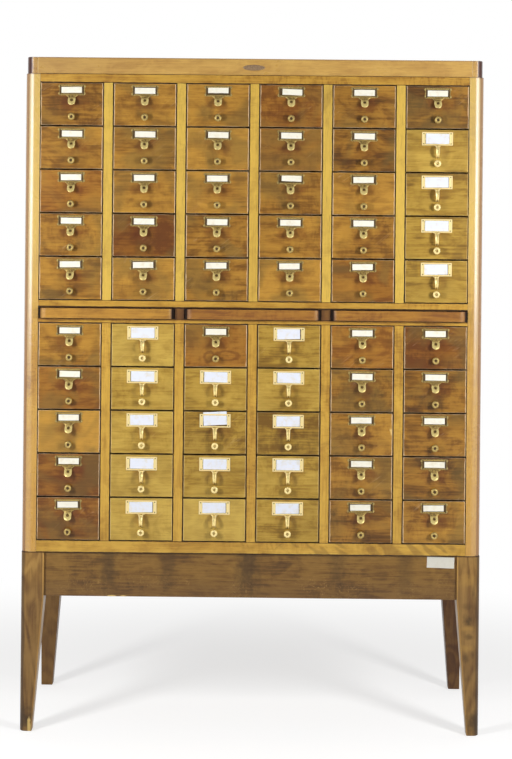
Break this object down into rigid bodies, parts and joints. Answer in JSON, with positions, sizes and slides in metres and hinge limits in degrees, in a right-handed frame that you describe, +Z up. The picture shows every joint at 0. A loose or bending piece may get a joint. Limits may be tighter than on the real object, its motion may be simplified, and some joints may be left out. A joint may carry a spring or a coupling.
{
  "type": "card catalogue cabinet",
  "caption": "Wooden card catalogue cabinet on a stand: a grid of small drawers with brass label pulls in two blocks, pull-out shelves between them, four tapered legs.",
  "frame": {"origin": "on the floor under the middle of the whole outline, pulls included", "axes": "+Z up, -Y out of the drawers' fronts, +X to the right seen from the front"},
  "size_m": [1.054, 0.451, 1.549],
  "materials": {
    "case_wood": "worn satin varnish",
    "cap_wood": "worn satin varnish",
    "rail_wood": "worn satin varnish",
    "older_drawer_wood": "worn satin varnish",
    "newer_drawer_wood": "satin varnish",
    "box_wood": "bare",
    "pale_brass": "worn"
  },
  "bodies": {
    "cabinet": {"top_cap": "cap_wood", "case_boards": "case_wood", "left_side": "case_wood", "right_side": "case_wood", "back_panel": "case_wood", "column_dividers": "case_wood", "drawer_runners": "box_wood", "legs": "cap_wood", "stand_rails": "rail_wood", "corner_blocks": "box_wood"},
    "shelf_left": {"shelf_left": "case_wood"},
    "shelf_middle": {"shelf_middle": "case_wood"},
    "shelf_right": {"shelf_right": "case_wood"},
    "drawer_r1c1": {"drawer_r1c1": "older_drawer_wood"},
    "drawer_r1c2": {"drawer_r1c2": "older_drawer_wood"},
    "drawer_r1c3": {"drawer_r1c3": "older_drawer_wood"},
    "drawer_r1c4": {"drawer_r1c4": "older_drawer_wood"},
    "drawer_r1c5": {"drawer_r1c5": "older_drawer_wood"},
    "drawer_r1c6": {"drawer_r1c6": "older_drawer_wood"},
    "drawer_r2c1": {"drawer_r2c1": "older_drawer_wood"},
    "drawer_r2c2": {"drawer_r2c2": "older_drawer_wood"},
    "drawer_r2c3": {"drawer_r2c3": "older_drawer_wood"},
    "drawer_r2c4": {"drawer_r2c4": "older_drawer_wood"},
    "drawer_r2c5": {"drawer_r2c5": "older_drawer_wood"},
    "drawer_r2c6": {"drawer_r2c6": "newer_drawer_wood"},
    "drawer_r3c1": {"drawer_r3c1": "older_drawer_wood"},
    "drawer_r3c2": {"drawer_r3c2": "older_drawer_wood"},
    "drawer_r3c3": {"drawer_r3c3": "older_drawer_wood"},
    "drawer_r3c4": {"drawer_r3c4": "older_drawer_wood"},
    "drawer_r3c5": {"drawer_r3c5": "older_drawer_wood"},
    "drawer_r3c6": {"drawer_r3c6": "newer_drawer_wood"},
    "drawer_r4c1": {"drawer_r4c1": "older_drawer_wood"},
    "drawer_r4c2": {"drawer_r4c2": "older_drawer_wood"},
    "drawer_r4c3": {"drawer_r4c3": "older_drawer_wood"},
    "drawer_r4c4": {"drawer_r4c4": "older_drawer_wood"},
    "drawer_r4c5": {"drawer_r4c5": "older_drawer_wood"},
    "drawer_r4c6": {"drawer_r4c6": "newer_drawer_wood"},
    "drawer_r5c1": {"drawer_r5c1": "older_drawer_wood"},
    "drawer_r5c2": {"drawer_r5c2": "older_drawer_wood"},
    "drawer_r5c3": {"drawer_r5c3": "older_drawer_wood"},
    "drawer_r5c4": {"drawer_r5c4": "older_drawer_wood"},
    "drawer_r5c5": {"drawer_r5c5": "older_drawer_wood"},
    "drawer_r5c6": {"drawer_r5c6": "newer_drawer_wood"},
    "drawer_r6c1": {"drawer_r6c1": "older_drawer_wood"},
    "drawer_r6c2": {"drawer_r6c2": "newer_drawer_wood"},
    "drawer_r6c3": {"drawer_r6c3": "older_drawer_wood"},
    "drawer_r6c4": {"drawer_r6c4": "newer_drawer_wood"},
    "drawer_r6c5": {"drawer_r6c5": "older_drawer_wood"},
    "drawer_r6c6": {"drawer_r6c6": "older_drawer_wood"},
    "drawer_r7c1": {"drawer_r7c1": "older_drawer_wood"},
    "drawer_r7c2": {"drawer_r7c2": "newer_drawer_wood"},
    "drawer_r7c3": {"drawer_r7c3": "newer_drawer_wood"},
    "drawer_r7c4": {"drawer_r7c4": "newer_drawer_wood"},
    "drawer_r7c5": {"drawer_r7c5": "older_drawer_wood"},
    "drawer_r7c6": {"drawer_r7c6": "older_drawer_wood"},
    "drawers_row_8": {"drawers_row_8": "older_drawer_wood"},
    "drawers_row_9": {"drawers_row_9": "older_drawer_wood"},
    "drawers_row_10": {"drawers_row_10": "older_drawer_wood"},
    "rod_r5c1": {"rod_r5c1": "pale_brass"},
    "follower_r5c1": {"follower_r5c1": "box_wood"}
  },
  "joints": [
    {"name": "shelf_left_slide", "type": "slide", "parent": "cabinet", "child": "shelf_left", "axis": [0, -1, 0], "range_m": [0, 0.3]},
    {"name": "shelf_middle_slide", "type": "slide", "parent": "cabinet", "child": "shelf_middle", "axis": [0, -1, 0], "range_m": [0, 0.3]},
    {"name": "shelf_right_slide", "type": "slide", "parent": "cabinet", "child": "shelf_right", "axis": [0, -1, 0], "range_m": [0, 0.3]},
    {"name": "drawer_r1c1_slide", "type": "slide", "parent": "cabinet", "child": "drawer_r1c1", "axis": [0, -1, 0], "range_m": [0, 0.34]},
    {"name": "drawer_r1c2_slide", "type": "slide", "parent": "cabinet", "child": "drawer_r1c2", "axis": [0, -1, 0], "range_m": [0, 0.34]},
    {"name": "drawer_r1c3_slide", "type": "slide", "parent": "cabinet", "child": "drawer_r1c3", "axis": [0, -1, 0], "range_m": [0, 0.34]},
    {"name": "drawer_r1c4_slide", "type": "slide", "parent": "cabinet", "child": "drawer_r1c4", "axis": [0, -1, 0], "range_m": [0, 0.34]},
    {"name": "drawer_r1c5_slide", "type": "slide", "parent": "cabinet", "child": "drawer_r1c5", "axis": [0, -1, 0], "range_m": [0, 0.34]},
    {"name": "drawer_r1c6_slide", "type": "slide", "parent": "cabinet", "child": "drawer_r1c6", "axis": [0, -1, 0], "range_m": [0, 0.34]},
    {"name": "drawer_r2c1_slide", "type": "slide", "parent": "cabinet", "child": "drawer_r2c1", "axis": [0, -1, 0], "range_m": [0, 0.34]},
    {"name": "drawer_r2c2_slide", "type": "slide", "parent": "cabinet", "child": "drawer_r2c2", "axis": [0, -1, 0], "range_m": [0, 0.34]},
    {"name": "drawer_r2c3_slide", "type": "slide", "parent": "cabinet", "child": "drawer_r2c3", "axis": [0, -1, 0], "range_m": [0, 0.34]},
    {"name": "drawer_r2c4_slide", "type": "slide", "parent": "cabinet", "child": "drawer_r2c4", "axis": [0, -1, 0], "range_m": [0, 0.34]},
    {"name": "drawer_r2c5_slide", "type": "slide", "parent": "cabinet", "child": "drawer_r2c5", "axis": [0, -1, 0], "range_m": [0, 0.34]},
    {"name": "drawer_r2c6_slide", "type": "slide", "parent": "cabinet", "child": "drawer_r2c6", "axis": [0, -1, 0], "range_m": [0, 0.34]},
    {"name": "drawer_r3c1_slide", "type": "slide", "parent": "cabinet", "child": "drawer_r3c1", "axis": [0, -1, 0], "range_m": [0, 0.34]},
    {"name": "drawer_r3c2_slide", "type": "slide", "parent": "cabinet", "child": "drawer_r3c2", "axis": [0, -1, 0], "range_m": [0, 0.34]},
    {"name": "drawer_r3c3_slide", "type": "slide", "parent": "cabinet", "child": "drawer_r3c3", "axis": [0, -1, 0], "range_m": [0, 0.34]},
    {"name": "drawer_r3c4_slide", "type": "slide", "parent": "cabinet", "child": "drawer_r3c4", "axis": [0, -1, 0], "range_m": [0, 0.34]},
    {"name": "drawer_r3c5_slide", "type": "slide", "parent": "cabinet", "child": "drawer_r3c5", "axis": [0, -1, 0], "range_m": [0, 0.34]},
    {"name": "drawer_r3c6_slide", "type": "slide", "parent": "cabinet", "child": "drawer_r3c6", "axis": [0, -1, 0], "range_m": [0, 0.34]},
    {"name": "drawer_r4c1_slide", "type": "slide", "parent": "cabinet", "child": "drawer_r4c1", "axis": [0, -1, 0], "range_m": [0, 0.34]},
    {"name": "drawer_r4c2_slide", "type": "slide", "parent": "cabinet", "child": "drawer_r4c2", "axis": [0, -1, 0], "range_m": [0, 0.34]},
    {"name": "drawer_r4c3_slide", "type": "slide", "parent": "cabinet", "child": "drawer_r4c3", "axis": [0, -1, 0], "range_m": [0, 0.34]},
    {"name": "drawer_r4c4_slide", "type": "slide", "parent": "cabinet", "child": "drawer_r4c4", "axis": [0, -1, 0], "range_m": [0, 0.34]},
    {"name": "drawer_r4c5_slide", "type": "slide", "parent": "cabinet", "child": "drawer_r4c5", "axis": [0, -1, 0], "range_m": [0, 0.34]},
    {"name": "drawer_r4c6_slide", "type": "slide", "parent": "cabinet", "child": "drawer_r4c6", "axis": [0, -1, 0], "range_m": [0, 0.34]},
    {"name": "drawer_r5c1_slide", "type": "slide", "parent": "cabinet", "child": "drawer_r5c1", "axis": [0, -1, 0], "range_m": [0, 0.34]},
    {"name": "drawer_r5c2_slide", "type": "slide", "parent": "cabinet", "child": "drawer_r5c2", "axis": [0, -1, 0], "range_m": [0, 0.34]},
    {"name": "drawer_r5c3_slide", "type": "slide", "parent": "cabinet", "child": "drawer_r5c3", "axis": [0, -1, 0], "range_m": [0, 0.34]},
    {"name": "drawer_r5c4_slide", "type": "slide", "parent": "cabinet", "child": "drawer_r5c4", "axis": [0, -1, 0], "range_m": [0, 0.34]},
    {"name": "drawer_r5c5_slide", "type": "slide", "parent": "cabinet", "child": "drawer_r5c5", "axis": [0, -1, 0], "range_m": [0, 0.34]},
    {"name": "drawer_r5c6_slide", "type": "slide", "parent": "cabinet", "child": "drawer_r5c6", "axis": [0, -1, 0], "range_m": [0, 0.34]},
    {"name": "drawer_r6c1_slide", "type": "slide", "parent": "cabinet", "child": "drawer_r6c1", "axis": [0, -1, 0], "range_m": [0, 0.34]},
    {"name": "drawer_r6c2_slide", "type": "slide", "parent": "cabinet", "child": "drawer_r6c2", "axis": [0, -1, 0], "range_m": [0, 0.34]},
    {"name": "drawer_r6c3_slide", "type": "slide", "parent": "cabinet", "child": "drawer_r6c3", "axis": [0, -1, 0], "range_m": [0, 0.34]},
    {"name": "drawer_r6c4_slide", "type": "slide", "parent": "cabinet", "child": "drawer_r6c4", "axis": [0, -1, 0], "range_m": [0, 0.34]},
    {"name": "drawer_r6c5_slide", "type": "slide", "parent": "cabinet", "child": "drawer_r6c5", "axis": [0, -1, 0], "range_m": [0, 0.34]},
    {"name": "drawer_r6c6_slide", "type": "slide", "parent": "cabinet", "child": "drawer_r6c6", "axis": [0, -1, 0], "range_m": [0, 0.34]},
    {"name": "drawer_r7c1_slide", "type": "slide", "parent": "cabinet", "child": "drawer_r7c1", "axis": [0, -1, 0], "range_m": [0, 0.34]},
    {"name": "drawer_r7c2_slide", "type": "slide", "parent": "cabinet", "child": "drawer_r7c2", "axis": [0, -1, 0], "range_m": [0, 0.34]},
    {"name": "drawer_r7c3_slide", "type": "slide", "parent": "cabinet", "child": "drawer_r7c3", "axis": [0, -1, 0], "range_m": [0, 0.34]},
    {"name": "drawer_r7c4_slide", "type": "slide", "parent": "cabinet", "child": "drawer_r7c4", "axis": [0, -1, 0], "range_m": [0, 0.34]},
    {"name": "drawer_r7c5_slide", "type": "slide", "parent": "cabinet", "child": "drawer_r7c5", "axis": [0, -1, 0], "range_m": [0, 0.34]},
    {"name": "drawer_r7c6_slide", "type": "slide", "parent": "cabinet", "child": "drawer_r7c6", "axis": [0, -1, 0], "range_m": [0, 0.34]},
    {"name": "drawers_row_8_slide", "type": "slide", "parent": "cabinet", "child": "drawers_row_8", "axis": [0, -1, 0], "range_m": [0, 0.34]},
    {"name": "drawers_row_9_slide", "type": "slide", "parent": "cabinet", "child": "drawers_row_9", "axis": [0, -1, 0], "range_m": [0, 0.34]},
    {"name": "drawers_row_10_slide", "type": "slide", "parent": "cabinet", "child": "drawers_row_10", "axis": [0, -1, 0], "range_m": [0, 0.34]},
    {"name": "rod_r5c1_slide", "type": "slide", "parent": "drawer_r5c1", "child": "rod_r5c1", "axis": [0, -1, 0], "range_m": [0, 0.36]},
    {"name": "follower_r5c1_slide", "type": "slide", "parent": "drawer_r5c1", "child": "follower_r5c1", "axis": [0, -1, 0], "range_m": [0, 0.28]}
  ]
}
